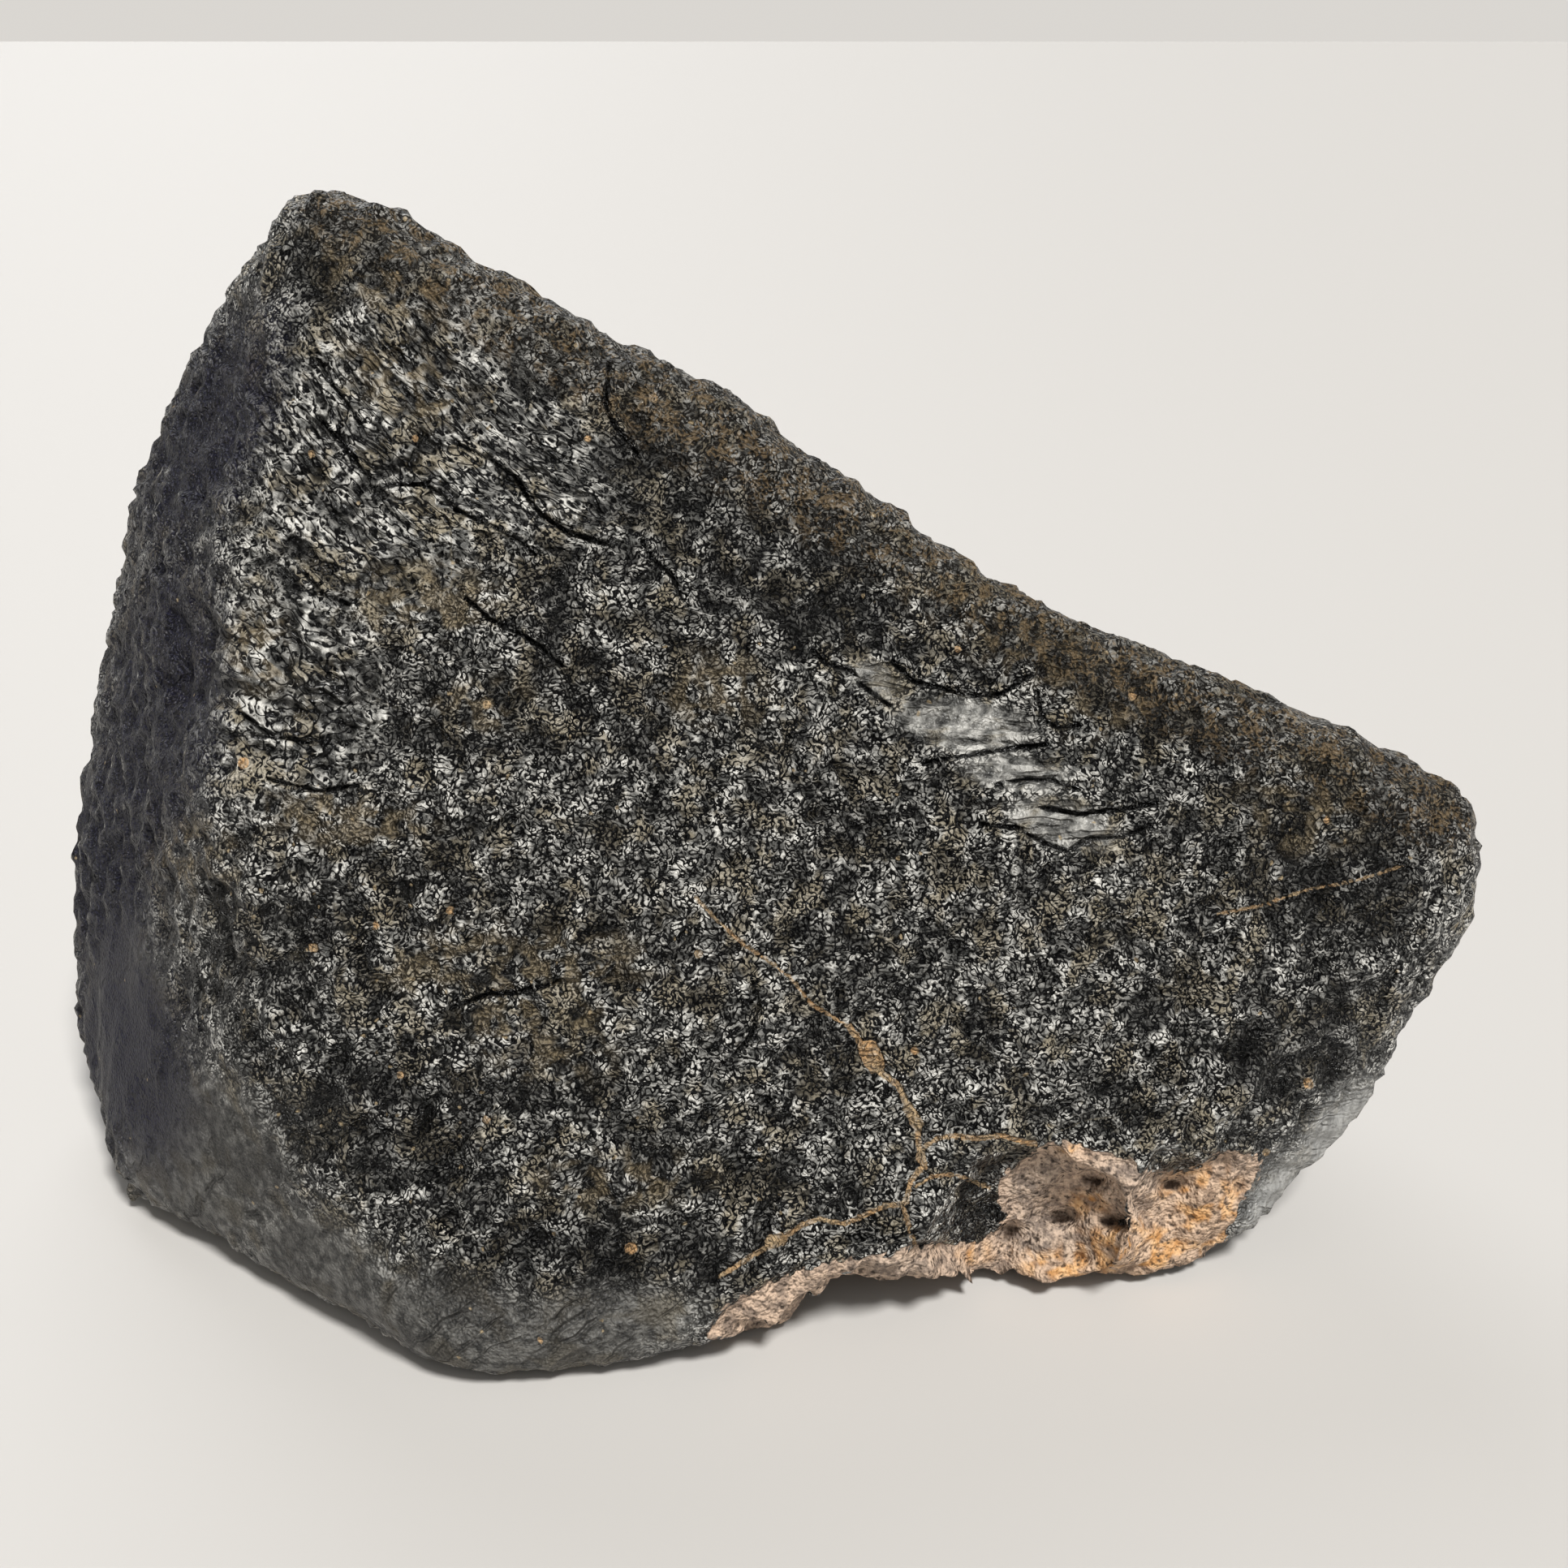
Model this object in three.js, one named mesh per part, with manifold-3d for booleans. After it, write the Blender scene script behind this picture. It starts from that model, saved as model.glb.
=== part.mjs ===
// A fist-sized achondrite meteorite: one natural stone, wedge shaped, with a thin black melted crust
// all round it and one corner broken off low on its right front. Millimetres, +Z up. The stone lies as it
// would on a table: its longest side runs along X, the large crusted face looks towards -Y and leans
// back, and the origin is the middle of its footprint, on the table.

import * as THREE from 'three';
import { mergeVertices } from 'three/addons/utils/BufferGeometryUtils.js';
import { ConvexHull } from 'three/addons/math/ConvexHull.js';
import { ImprovedNoise } from 'three/addons/math/ImprovedNoise.js';
import Module from 'manifold-3d';

const wasm = await Module();
wasm.setup();
const noise = new ImprovedNoise();

// The stone's rounded corners: where each one's ball sits, and its radius. The skin is stretched over
// these balls like a tight sheet, so two near corners of small radius make a tight edge between them.
const CORNERS = [
  { name: 'peak', at: [-26.6, 1, 61.7], round: 2.4 },
  { name: 'upper left shoulder', at: [-34.6, 6, 50.8], round: 3.2 },
  { name: 'left shoulder', at: [-37.3, 8, 43.6], round: 4 },
  { name: 'left middle', at: [-40.5, 9, 29.6], round: 5 },
  { name: 'left low', at: [-43.4, 7, 16.2], round: 5 },
  { name: 'left heel', at: [-44.8, 4.5, 6.8], round: 4 },
  { name: 'lower left', at: [-40.2, -9, 2.8], round: 1.8 },
  { name: 'lower left bulge', at: [-27.4, -18.9, 2.8], round: 2.4 },
  { name: 'front left low', at: [-28.5, -16.5, 15], round: 5 },
  { name: 'front left middle', at: [-29.5, -10.5, 29.5], round: 5.5 },
  { name: 'front left high', at: [-24.5, -4.5, 43.5], round: 5 },
  { name: 'front left under the peak', at: [-24.2, -1, 53.5], round: 4 },
  { name: 'front bend, left', at: [-19.5, -6.3, 37.8], round: 6 },
  { name: 'front bend, right', at: [15.7, -7, 28.6], round: 6 },
  { name: 'front middle', at: [-6, -12, 22], round: 8 },
  { name: 'front foot, left', at: [-18, -25, 3.6], round: 3.4 },
  { name: 'front foot, right', at: [-10.6, -24.6, 3.6], round: 3.4 },
  { name: 'front right low', at: [18, -18.5, 6], round: 4.5 },
  { name: 'right foot', at: [27, -15, 2], round: 1.7 },
  { name: 'right flank', at: [33.6, -11, 9], round: 3.4 },
  { name: 'right tip, lower', at: [39.1, -8.5, 21.4], round: 4 },
  { name: 'right tip, upper', at: [39.7, -7.5, 26], round: 3.2 },
  { name: 'ridge middle', at: [2.3, 1, 39.5], round: 5 },
  { name: 'back left high', at: [-29, 16, 42], round: 7 },
  { name: 'back left heel', at: [-34, 18, 8.2], round: 6 },
  { name: 'back middle', at: [-3, 21, 26], round: 8.5 },
  { name: 'back right', at: [26, 10, 15], round: 7 },
  { name: 'back foot, left', at: [-20, 21, 6.4], round: 4.5 },
  { name: 'back foot, right', at: [10, 19, 8], round: 5.5 },
  { name: 'sole, front', at: [-16, -15, 3.8], round: 4 },
  { name: 'sole, left', at: [-27, -1, 3.8], round: 4 },
  { name: 'sole, back', at: [-13, 11, 3.8], round: 4 },
  { name: 'sole, right', at: [7, 4, 3.8], round: 4 },
];
const CORNER_CUTS = 3;

// The skin is measured outwards from a small egg in the middle of the stone: its centre and half lengths.
const HEART = new THREE.Vector3(-6, -2, 22);
const EGG = new THREE.Vector3(20, 6, 12);

// The mesh: an icosahedron whose edges each get this many cuts.
const MESH_CUTS = 18;

// The steps that take the saw teeth off the mesh's tight edges: a share of the way to the middle of the
// neighbours, and then back a little further, so that the stone keeps its size.
const RELAXING = [0.5, -0.53, 0.5, -0.53, 0.5, -0.53, 0.5, -0.53];

// Broad unevenness of the melted skin: how deep and how wide, in mm.
const SWELLS = [
  { height: 1.3, width: 24, seed: 3.1 },
  { height: 0.5, width: 10, seed: 17.7 },
  { height: 0.2, width: 5.5, seed: 41.3 },
];

// Hollows that can be picked out one by one, each at a point of the skin. A lump has a negative depth.
const HOLLOWS = [
  { name: 'ridge saddle', at: [17, 0, 37], wide: 18, deep: 2.7 },
  { name: 'dip in the upper ridge', at: [-14, 1, 54], wide: 8, deep: 1.3 },
  { name: 'thumb hollow on the left edge', at: [-34, -9, 37], wide: 5, deep: 1.6 },
  { name: 'pitted dip on the left', at: [-33, -17, 21], wide: 6, deep: 1.1 },
  { name: 'dark dent over the foot', at: [-21, -25, 9], wide: 3.6, deep: 1 },
  { name: 'dip above it', at: [-22, -23, 17], wide: 5, deep: 0.8 },
  { name: 'dip under the ridge', at: [8, -13, 33], wide: 7, deep: 0.7 },
  { name: 'glossy swelling', at: [17, -15, 30], wide: 6, deep: -0.8 },
  { name: 'dip towards the tip', at: [30, -12, 21], wide: 6, deep: 0.7 },
  { name: 'shallow dip over the break', at: [2, -22, 13], wide: 6, deep: 0.7 },
  { name: 'thumb hollow, back middle', at: [0, 29, 27], wide: 10, deep: 2.2 },
  { name: 'thumb hollow, back left', at: [-25, 24, 22], wide: 9, deep: 2 },
  { name: 'thumb hollow, back right', at: [22, 19, 18], wide: 9, deep: 1.5 },
  { name: 'thumb hollow, back slope', at: [-9, 18, 43], wide: 8, deep: 1.6 },
];

// The broken corner: overlapping scoops that were knocked out of the right front, over the table.
const SCOOPS = [
  { at: [15, -29.6, 4.6], reach: [8.2, 12, 9.8] },
  { at: [25.4, -28, 4], reach: [6.8, 11.2, 9.6] },
  { at: [7, -28.5, -3], reach: [14, 9, 8.5] },
];
const SCOOP_CUTS = 14;

// The low arch under the stone, between its front foot and its right foot.
const ARCH = { at: [8, -16, -8], reach: [19, 13, 10.6] };

// How lumpy a broken surface is: height and width of its bumps, in mm.
const BROKEN_LUMPS = [
  { height: 1.5, width: 6.5, seed: 63.9 },
  { height: 0.8, width: 2.9, seed: 27.4 },
];

// A splinter of crust that stands at the lower left, over the table.
const SPLINTER = { at: [-40.8, -9.8, 2.8], wide: 2.2, tall: 5, sides: 5, lean: 24 };

const CRUST_COLOUR = 0x1c1b1a;

// Corners closer than this are one corner.
const SAME_POINT = 1e-4;

// A closed ball of triangles, its corners moved to wherever place() says for their direction.
function lumpyBall(cuts, place) {
  const ball = new THREE.IcosahedronGeometry(1, cuts);
  ball.deleteAttribute('normal');
  ball.deleteAttribute('uv');
  const shape = mergeVertices(ball, SAME_POINT);
  const corners = shape.getAttribute('position');
  const direction = new THREE.Vector3();
  for (let i = 0; i < corners.count; i += 1) {
    direction.fromBufferAttribute(corners, i).normalize();
    const corner = place(direction);
    corners.setXYZ(i, corner.x, corner.y, corner.z);
  }
  return shape;
}

// Moves each corner towards or away from the middle of its neighbours, once for each step.
function relaxed(shape, steps) {
  const corners = shape.getAttribute('position');
  const triangles = shape.index.array;
  const neighbours = Array.from({ length: corners.count }, () => new Set());
  for (let i = 0; i < triangles.length; i += 3) {
    const [a, b, c] = triangles.subarray(i, i + 3);
    neighbours[a].add(b).add(c);
    neighbours[b].add(c).add(a);
    neighbours[c].add(a).add(b);
  }
  for (const share of steps) {
    const old = neighbours.map((_, i) => new THREE.Vector3().fromBufferAttribute(corners, i));
    neighbours.forEach((near, i) => {
      const middle = new THREE.Vector3();
      near.forEach((one) => middle.addScaledVector(old[one], 1 / near.size));
      const moved = old[i].clone().lerp(middle, share);
      corners.setXYZ(i, moved.x, moved.y, moved.z);
    });
  }
  return shape;
}

function solidFrom(geometry) {
  const bare = geometry.clone();
  bare.deleteAttribute('normal');
  bare.deleteAttribute('uv');
  const merged = mergeVertices(bare, SAME_POINT);
  return new wasm.Manifold(
    new wasm.Mesh({
      numProp: 3,
      vertProperties: new Float32Array(merged.getAttribute('position').array),
      triVerts: new Uint32Array(merged.index.array),
    }),
  );
}

function geometryFrom(solid) {
  const mesh = solid.getMesh();
  const corners = new Float32Array(mesh.numVert * 3);
  for (let i = 0; i < mesh.numVert; i += 1) {
    corners.set(mesh.vertProperties.subarray(i * mesh.numProp, i * mesh.numProp + 3), i * 3);
  }
  const geometry = new THREE.BufferGeometry();
  geometry.setAttribute('position', new THREE.BufferAttribute(corners, 3));
  geometry.setIndex(new THREE.BufferAttribute(mesh.triVerts, 1));
  return geometry;
}

// The flat pieces of the sheet that is stretched over the corner balls.
function stretchedSheet() {
  const points = [];
  for (const { at, round } of CORNERS) {
    const ball = new THREE.IcosahedronGeometry(round, CORNER_CUTS).translate(...at);
    const corners = ball.getAttribute('position');
    for (let i = 0; i < corners.count; i += 1) {
      points.push(new THREE.Vector3().fromBufferAttribute(corners, i));
    }
  }
  return new ConvexHull().setFromPoints(points).faces;
}

// Where a straight line from the egg, along the direction, meets the sheet.
function pointOnSheet(direction, sheet) {
  const start = direction.clone().multiply(EGG).add(HEART);
  let reach = Infinity;
  for (const { normal, constant } of sheet) {
    const towards = normal.dot(direction);
    if (towards > 0) reach = Math.min(reach, (constant - normal.dot(start)) / towards);
  }
  return start.addScaledVector(direction, reach);
}

function lumpsAt(point, lumps) {
  return lumps.reduce(
    (sum, { height, width, seed }) =>
      sum + height * noise.noise(point.x / width + seed, point.y / width, point.z / width - seed),
    0,
  );
}

function hollowAt(point) {
  let depth = 0;
  for (const { at, wide, deep } of HOLLOWS) {
    const share = point.distanceTo(new THREE.Vector3(...at)) / wide;
    depth += deep * Math.exp(-share * share);
  }
  return depth;
}

// The whole stone before its corner broke off.
function wholeStone() {
  const sheet = stretchedSheet();
  const skin = lumpyBall(MESH_CUTS, (direction) => {
    const point = pointOnSheet(direction, sheet);
    return point.addScaledVector(direction, lumpsAt(point, SWELLS) - hollowAt(point));
  });
  return solidFrom(relaxed(skin, RELAXING));
}

function scoop({ at, reach }) {
  return solidFrom(
    lumpyBall(SCOOP_CUTS, (direction) => {
      const skin = direction.clone().multiply(new THREE.Vector3(...reach)).add(new THREE.Vector3(...at));
      return skin.addScaledVector(direction, lumpsAt(skin, BROKEN_LUMPS));
    }),
  );
}

// A thin pyramid that points down and leans outwards.
function splinter({ at, wide, tall, sides, lean }) {
  const spike = new THREE.ConeGeometry(wide, tall, sides, 1);
  spike.rotateX(-Math.PI / 2);
  spike.rotateY(THREE.MathUtils.degToRad(lean));
  spike.translate(...at);
  return solidFrom(spike);
}

// Everything above the table: the cut leaves the flat spots that the stone stands on.
function aboveTable() {
  const room = 400;
  return solidFrom(new THREE.BoxGeometry(room, room, room).translate(0, 0, room / 2));
}

function meteoriteGeometry() {
  let stone = wholeStone().add(splinter(SPLINTER));
  for (const one of SCOOPS) stone = stone.subtract(scoop(one));
  stone = stone.subtract(scoop(ARCH));
  const geometry = geometryFrom(stone.intersect(aboveTable()));
  geometry.computeBoundingBox();
  const middle = geometry.boundingBox.getCenter(new THREE.Vector3());
  return geometry.translate(-middle.x, -middle.y, -geometry.boundingBox.min.z);
}

const meteorite = new THREE.Mesh(
  meteoriteGeometry(),
  new THREE.MeshStandardMaterial({ color: CRUST_COLOUR, roughness: 0.45, metalness: 0, flatShading: true }),
);
meteorite.name = 'meteorite_stone';

const group = new THREE.Group();
group.add(meteorite);

export default group;
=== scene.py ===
# %% [markdown]
# A fist-sized stony meteorite, dressed for a close-up. While it fell, its skin melted and froze again as
# a black glassy crust, a fraction of a millimetre thick: finely wrinkled on the big front face, drawn out
# in streaks from the peak, folded like cooling fat in places. Later a corner broke off at the lower right
# and shows the rough tan and grey stone inside, and thin tan veins fill the cracks that lead there.
# The packed model gives the stone's true shape in a few thousand flat facets. This script makes one fine
# mesh of the same stone and gives it that skin.
# %% Load the frame
import math

import bpy
import numpy as np
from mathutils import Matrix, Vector, noise


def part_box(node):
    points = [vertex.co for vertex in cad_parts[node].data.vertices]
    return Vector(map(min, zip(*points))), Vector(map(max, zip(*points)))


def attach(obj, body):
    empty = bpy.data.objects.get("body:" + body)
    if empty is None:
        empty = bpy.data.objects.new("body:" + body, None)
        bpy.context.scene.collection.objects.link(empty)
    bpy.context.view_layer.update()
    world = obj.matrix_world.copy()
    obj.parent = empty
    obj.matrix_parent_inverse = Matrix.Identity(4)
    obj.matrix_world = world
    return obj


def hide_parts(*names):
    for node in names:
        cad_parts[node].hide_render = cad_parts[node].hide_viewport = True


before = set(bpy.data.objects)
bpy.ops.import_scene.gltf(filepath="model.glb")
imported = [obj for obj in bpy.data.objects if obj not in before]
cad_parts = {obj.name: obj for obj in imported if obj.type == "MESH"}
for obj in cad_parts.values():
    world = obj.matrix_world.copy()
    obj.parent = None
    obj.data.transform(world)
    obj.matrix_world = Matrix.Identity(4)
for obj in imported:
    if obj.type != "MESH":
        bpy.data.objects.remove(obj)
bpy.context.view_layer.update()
MM = 0.001
STONE = "meteorite_stone"
low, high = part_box(STONE)
print("the stone measures", [round((b - a) / MM, 1) for a, b in zip(low, high)], "mm")

# %% [markdown]
# The camera comes first, because the marks on the front face are placed by what it sees. The photograph
# is square, and its perspective gives a viewpoint a hand's width in front of the stone, looking down on
# it. A near viewpoint and a far one draw a stone quite differently, so the distance matters as much as
# the angle.
# %% Place the camera
PHOTO_SIDE = 1932
FOCAL_PIXELS = 2400
SENSOR_MM = 36
LOOK_DOWN = math.radians(21)
EYE = Vector((3.4, -117.4, 71.1)) * MM

bpy.ops.object.camera_add(location=EYE, rotation=(math.radians(90) - LOOK_DOWN, 0, 0))
camera = bpy.context.object
camera.name = "photo_camera"
camera.data.sensor_width = SENSOR_MM
camera.data.lens = SENSOR_MM * FOCAL_PIXELS / PHOTO_SIDE
camera.data.clip_start = 5 * MM
bpy.context.scene.camera = camera
print("lens", round(camera.data.lens, 2), "mm, eye at", [round(c / MM, 1) for c in EYE], "mm")

# %% [markdown]
# A mark on the front face, such as a vein, is easiest to name by its pixel in the photograph. This helper
# turns points of the stone, in metres, into those pixels. It is the camera's own rule: how far right and
# how far down a point lies, divided by how far away it is. The flat map that this gives is stored with
# the mesh, so the marks stay on the stone whatever looks at it later.
# %% Points of the stone as pixels of the photograph
RIGHT = np.array((1.0, 0.0, 0.0))
AHEAD = np.array((0.0, math.cos(LOOK_DOWN), -math.sin(LOOK_DOWN)))
DOWN = np.array((0.0, -math.sin(LOOK_DOWN), -math.cos(LOOK_DOWN)))
PIXELS_PER_MM = 20


def photo_pixels(points):
    away = points - np.array(EYE)
    depth = away @ AHEAD
    across = PHOTO_SIDE / 2 + FOCAL_PIXELS * (away @ RIGHT) / depth
    below = PHOTO_SIDE / 2 + FOCAL_PIXELS * (away @ DOWN) / depth
    return np.stack((across, below), axis=1)


def facing(points, normals):
    to_eye = np.array(EYE) - points
    to_eye /= np.linalg.norm(to_eye, axis=1)[:, None]
    return np.sum(normals * to_eye, axis=1)


print("the box's corners fall on pixels", photo_pixels(np.array((low, high))).round().tolist())

# %% [markdown]
# Small helpers that every step uses. One makes a piece the only selected thing, because an operator works
# on all that is selected. The next adds a modifier, sets its values and applies it at once, so that each
# step leaves plain mesh behind. The others read the mesh as arrays of numbers.
# %% Helpers for modelling


def only(piece):
    bpy.ops.object.select_all(action="DESELECT")
    piece.select_set(True)
    bpy.context.view_layer.objects.active = piece


def modify(piece, kind, **values):
    only(piece)
    modifier = piece.modifiers.new(kind.title(), kind)
    for name, value in values.items():
        setattr(modifier, name, value)
    bpy.ops.object.modifier_apply(modifier=modifier.name)


def points_and_normals(piece):
    points = np.empty(len(piece.data.vertices) * 3, np.float32)
    normals = points.copy()
    piece.data.vertices.foreach_get("co", points)
    piece.data.vertex_normals.foreach_get("vector", normals)
    return points.reshape(-1, 3).astype(float), normals.reshape(-1, 3).astype(float)


def triangles_in(piece):
    piece.data.calc_loop_triangles()
    return len(piece.data.loop_triangles)


def smooth_step(value, start, end):
    share = np.clip((value - start) / (end - start), 0, 1)
    return share * share * (3 - 2 * share)


# %% [markdown]
# The fine stone starts as a copy of the packed one. Its loose triangles are merged into one closed skin,
# and a voxel remesh lays an even net of small cells over it. Sculptors do the same before they add
# detail, because relief needs vertices everywhere, and long thin triangles have none to spare.
# %% Start the fine stone
CELL = 0.3 * MM

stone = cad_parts[STONE].copy()
stone.data = stone.data.copy()
stone.name = stone.data.name = "meteorite_crust"
stone.parent = None
for key in list(stone.keys()):
    del stone[key]
bpy.context.scene.collection.objects.link(stone)
stone.data.materials.clear()
only(stone)
bpy.ops.object.mode_set(mode="EDIT")
bpy.ops.mesh.select_all(action="SELECT")
bpy.ops.mesh.remove_doubles(threshold=0.002 * MM)
bpy.ops.object.mode_set(mode="OBJECT")
modify(stone, "REMESH", mode="VOXEL", voxel_size=CELL)
print("the fine stone starts with", len(stone.data.polygons), "cells")

# %% [markdown]
# The broken corner is where the crust is gone. Its rim is drawn as an outline over the photograph, and
# each point of the front gets its distance to that rim, positive inside. A distance is better than a
# yes or no, because a shader can cut it anywhere between two vertices and still get a clean edge. Under
# the stone, which the camera can't see, the break goes on over the low arch, whose shape is an oval ball.
# Depths are in millimetres.
# %% Where the stone is broken
BREAK_RIM = [
    (1229, 1478), (1230, 1457), (1253, 1433), (1284, 1414), (1318, 1405), (1342, 1413), (1370, 1423),
    (1390, 1427), (1404, 1443), (1439, 1444), (1473, 1440), (1494, 1426), (1508, 1419), (1542, 1421),
    (1554, 1429), (1551, 1450), (1525, 1491), (1511, 1519), (1508, 1545), (1490, 1600), (1300, 1640),
    (1000, 1640), (868, 1650), (886, 1618), (912, 1598), (950, 1580), (1000, 1560), (1050, 1549),
    (1095, 1546), (1146, 1533), (1180, 1531), (1208, 1535), (1222, 1519), (1242, 1502),
]
BREAK_BEHIND = -10 * MM
HIDDEN = -9.0
ARCH_MIDDLE = np.array((11.4, -15.4, -8.0)) * MM
ARCH_REACH = np.array((19.0, 13.0, 10.6)) * MM
ARCH_EDGE = 1.08
ARCH_DEPTH = 9.0
SOLE_HEIGHT = 0.15 * MM
CRUSTED_SOLE = -0.3


def to_segment(pixels, start, end):
    start, end = np.array(start, float), np.array(end, float)
    run = end - start
    share = np.clip(((pixels - start) @ run) / (run @ run), 0, 1)
    return np.linalg.norm(pixels - start - share[:, None] * run, axis=1)


def inside_outline(pixels, outline):
    within = np.zeros(len(pixels), bool)
    for (x0, y0), (x1, y1) in zip(outline, outline[1:] + outline[:1]):
        crosses = (pixels[:, 1] < y0) != (pixels[:, 1] < y1)
        at = x0 + (pixels[:, 1] - y0) * (x1 - x0) / ((y1 - y0) or 1)
        within ^= crosses & (pixels[:, 0] < at)
    return within


def broken_depth(points, normals):
    pixels = photo_pixels(points)
    edges = zip(BREAK_RIM, BREAK_RIM[1:] + BREAK_RIM[:1])
    rim = np.min([to_segment(pixels, a, b) for a, b in edges], axis=0) / PIXELS_PER_MM
    front = np.where(inside_outline(pixels, BREAK_RIM), rim, -rim)
    in_view = (facing(points, normals) > -0.1) & (points[:, 1] < BREAK_BEHIND)
    front = np.where(in_view, front, HIDDEN)
    share = np.linalg.norm((points - ARCH_MIDDLE) / ARCH_REACH, axis=1)
    under = (ARCH_EDGE - share) * ARCH_DEPTH
    under = np.where(points[:, 2] > SOLE_HEIGHT, under, np.minimum(under, CRUSTED_SOLE))
    return np.maximum(front, under)


broken = broken_depth(*points_and_normals(stone))
print(round(100 * float(np.mean(broken > 0)), 1), "percent of the skin is broken stone")

# %% [markdown]
# A vertex group tells a modifier where to work and how hard. The facets of the packed stone are melted
# together with a Smooth modifier, which the break and the flat sole are kept out of: the one should stay
# craggy, and the other should stay flat. A small splinter at the lower left stays sharp too.
# %% Melt the facets together
WEIGHT_STEPS = 32


def weigh(piece, name, weights):
    if name in piece.vertex_groups:
        piece.vertex_groups.remove(piece.vertex_groups[name])
    group = piece.vertex_groups.new(name=name)
    steps = np.clip(np.round(weights * WEIGHT_STEPS), 0, WEIGHT_STEPS).astype(int)
    for step in range(1, WEIGHT_STEPS + 1):
        group.add(np.flatnonzero(steps == step).tolist(), step / WEIGHT_STEPS, "REPLACE")


SPLINTER = (192, 1488)
SPLINTER_REACH = (30, 90)
MELTING_ROUNDS = 40

points, _ = points_and_normals(stone)
off_sole = smooth_step(points[:, 2], 0.05 * MM, 1.2 * MM)
from_splinter = np.hypot(*(photo_pixels(points) - SPLINTER).T)
off_splinter = smooth_step(from_splinter, *SPLINTER_REACH)
weigh(stone, "skin", off_sole * smooth_step(-broken, -0.1, 0.8) * off_splinter)
modify(stone, "SMOOTH", factor=0.5, iterations=MELTING_ROUNDS, vertex_group="skin")
print("smoothed", round(100 * float(off_sole.mean())), "percent of the skin")

# %% [markdown]
# The crust isn't the same all over. Each zone is a list of soft ovals over the photograph: the middle,
# the half width, the half height and the turn, in pixels and degrees. A point near an oval's middle gets
# nearly 1, and far outside it gets 0. The same zones steer the relief now and the colours later.
# %% Zones of the crust
ZONES = {
    "streaked": [(470, 560, 190, 250, 25), (360, 850, 130, 170, 0), (640, 560, 160, 110, 35)],
    "folded": [(1190, 893, 100, 40, 8), (1310, 1015, 80, 36, 15), (1250, 952, 80, 26, 5),
               (1080, 838, 44, 26, 30)],
    "calm": [(910, 1255, 46, 50, 0), (640, 640, 110, 60, 35), (900, 600, 120, 60, 35),
             (740, 730, 60, 50, 0), (1170, 1475, 60, 45, 0)],
    "grainy": [(900, 1050, 420, 300, 0), (1300, 1180, 300, 200, 0), (700, 880, 300, 200, 0),
               (1000, 1350, 300, 120, 0), (640, 1180, 260, 130, 0)],
    "dusty": [(500, 470, 90, 50, 30), (800, 480, 60, 40, 30), (530, 740, 100, 50, 0),
              (600, 870, 70, 36, 0), (880, 850, 70, 50, 0), (1250, 770, 150, 60, 28),
              (700, 1185, 110, 40, 0), (560, 1180, 100, 40, -15), (660, 1260, 110, 70, 20),
              (760, 1450, 120, 40, 0), (430, 1010, 110, 40, 5), (320, 800, 40, 60, 0),
              (240, 1060, 60, 50, 0), (1370, 870, 70, 30, -30), (470, 330, 120, 60, 35),
              (1600, 1000, 80, 50, 25)],
    "matt": [(250, 1430, 110, 150, -35), (560, 1640, 200, 80, 15), (720, 1640, 170, 60, -10),
             (150, 1260, 60, 160, 0), (400, 1570, 130, 80, 35)],
    # shade, sheen and dim paint light: shade is painted shade, sheen painted highlights, dim painted shade.
    "shade": [(250, 540, 80, 200, 25), (190, 880, 90, 280, 8), (130, 1060, 80, 220, 0),
              (160, 1300, 90, 170, -10)],
    "sheen": [(450, 760, 70, 60, 0), (1300, 1035, 90, 40, 10), (1260, 1190, 110, 60, 0),
              (540, 680, 60, 50, 30), (1180, 900, 90, 34, 5), (890, 1080, 120, 90, 0),
              (1000, 1360, 130, 60, 0), (1400, 1120, 90, 60, 0), (640, 1000, 80, 50, 0)],
    "dim": [(1600, 1280, 130, 90, -20), (430, 1380, 210, 120, 20), (700, 1570, 260, 70, -5),
            (1700, 1120, 70, 110, 0), (330, 1180, 90, 120, 0), (700, 800, 60, 60, 0),
            (1480, 920, 120, 30, 25), (850, 620, 230, 80, 33), (1350, 830, 200, 40, 25),
            (1620, 1060, 150, 130, 0), (430, 320, 90, 80, 35), (1000, 760, 120, 50, 30)],
    "bevel": [(1590, 1480, 56, 90, 35), (1650, 1400, 44, 90, 35)],
    "pitted": [(560, 1290, 260, 170, 0), (330, 1110, 110, 90, 0), (840, 1480, 240, 80, 0),
               (460, 1120, 160, 80, 0)],
    "ochre": [(1480, 1490, 60, 60, 0), (1340, 1482, 26, 18, 0), (1200, 1546, 24, 12, 0),
              (1310, 1560, 60, 20, 0), (1400, 1540, 90, 40, 0), (1320, 1418, 20, 10, 0)],
    "grey": [(1290, 1515, 50, 40, 0), (1410, 1445, 60, 20, 10), (1330, 1530, 40, 30, 0),
             (1275, 1455, 50, 26, -35), (1100, 1560, 60, 14, 0)],
    "hollow": [(1345, 1455, 20, 10, 10), (1375, 1505, 26, 13, 0), (1306, 1500, 24, 11, 0),
               (1446, 1461, 22, 9, 0), (1527, 1462, 12, 7, 0), (1245, 1520, 18, 14, 0),
               (1330, 1550, 10, 8, 0)],
}
OVAL_FADES = (0.45, 1.25)


def oval(pixels, across, down, half_width, half_height, turn):
    angle = math.radians(turn)
    offset = pixels - np.array((across, down))
    along = (offset[:, 0] * math.cos(angle) + offset[:, 1] * math.sin(angle)) / half_width
    beside = (offset[:, 1] * math.cos(angle) - offset[:, 0] * math.sin(angle)) / half_height
    return 1 - smooth_step(np.hypot(along, beside), *OVAL_FADES)


def zone(name, pixels, seen):
    return np.max([oval(pixels, *one) for one in ZONES[name]], axis=0) * seen


print({name: len(ovals) for name, ovals in ZONES.items()})

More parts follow.
